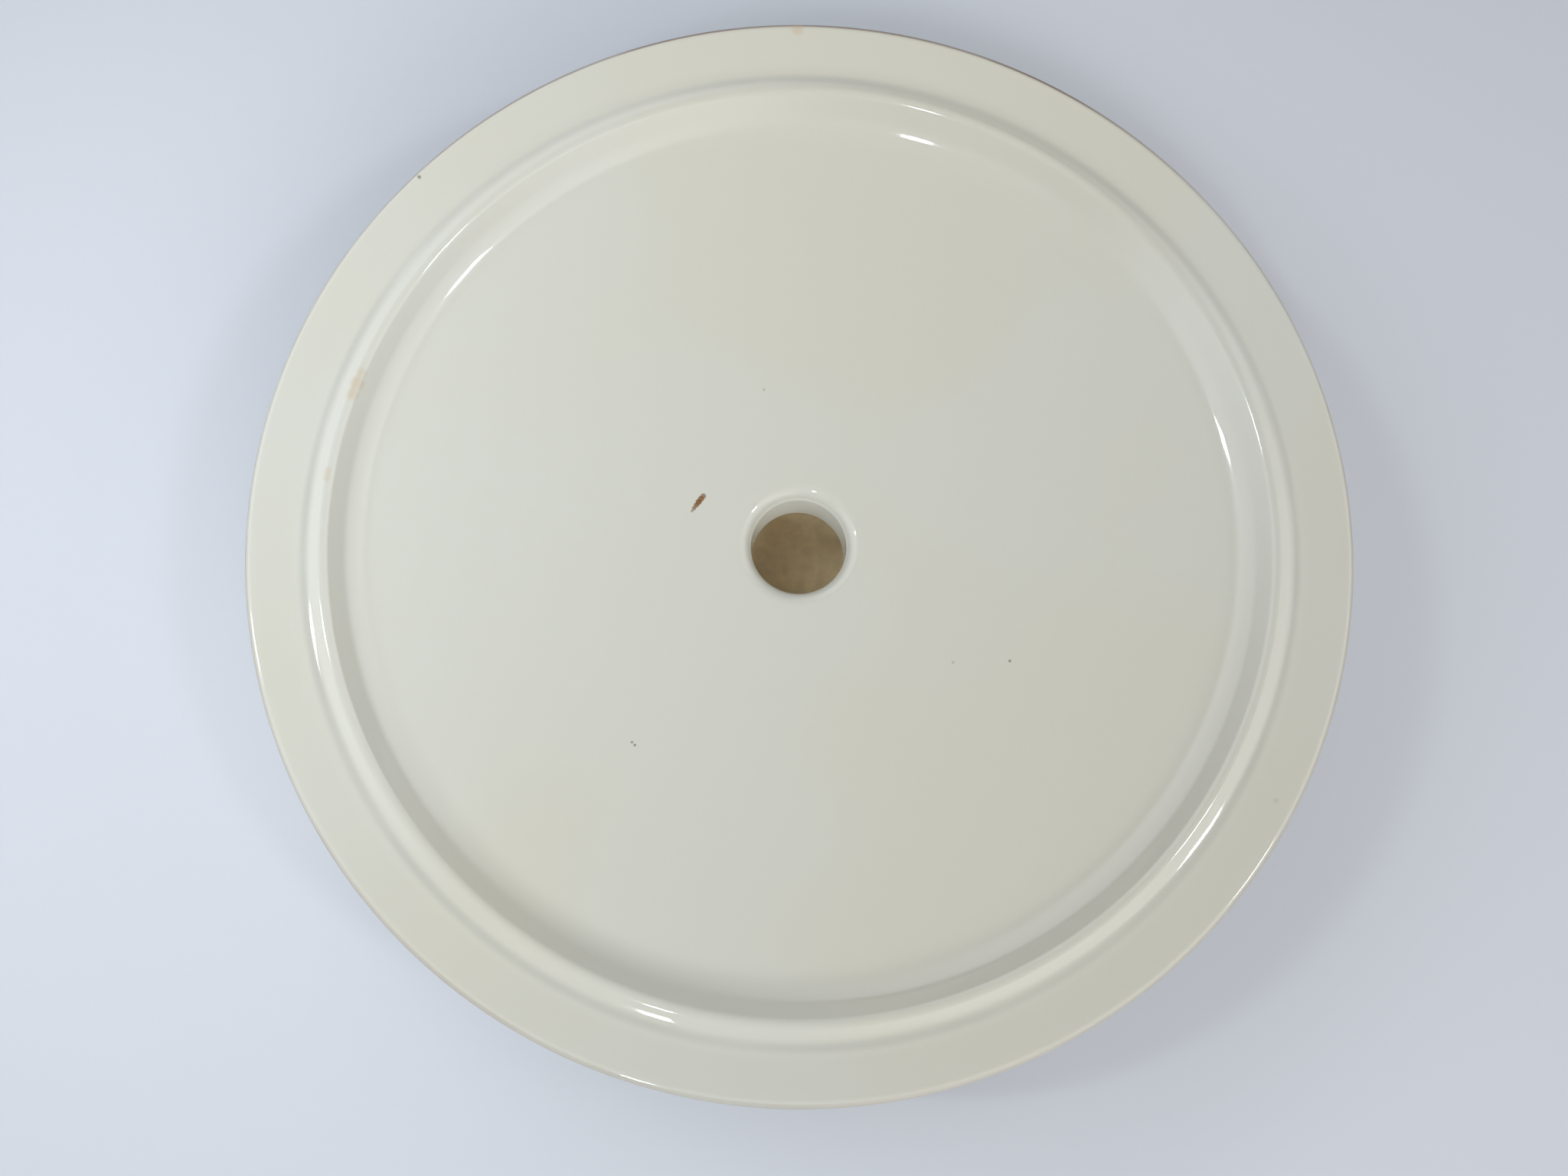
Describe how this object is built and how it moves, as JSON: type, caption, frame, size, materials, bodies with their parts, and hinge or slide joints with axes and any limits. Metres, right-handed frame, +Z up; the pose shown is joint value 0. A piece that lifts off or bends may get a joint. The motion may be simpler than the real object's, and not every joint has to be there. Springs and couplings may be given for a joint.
{
  "type": "covered vegetable dish lid",
  "caption": "Round glazed pottery lid of a covered dish, upside down on its hollow knob, with a wide flange, a raised locating ring and a shallow dome.",
  "frame": {"origin": "middle of the knob's flat end, at the base: the lid lies upside down, as pictured", "axes": "+Z up along the lid's axis, out of its hollow side; the lid is round, so +X and +Y are any two square directions"},
  "size_m": [0.225, 0.225, 0.049],
  "materials": {
    "ivory_glaze": "clear glossy glaze over an ivory body",
    "luting_slip": "sponged slip under the same glaze"
  },
  "bodies": {
    "root": {"cover": "ivory_glaze", "knob": "ivory_glaze", "luting_slip": "luting_slip"}
  },
  "joints": []
}
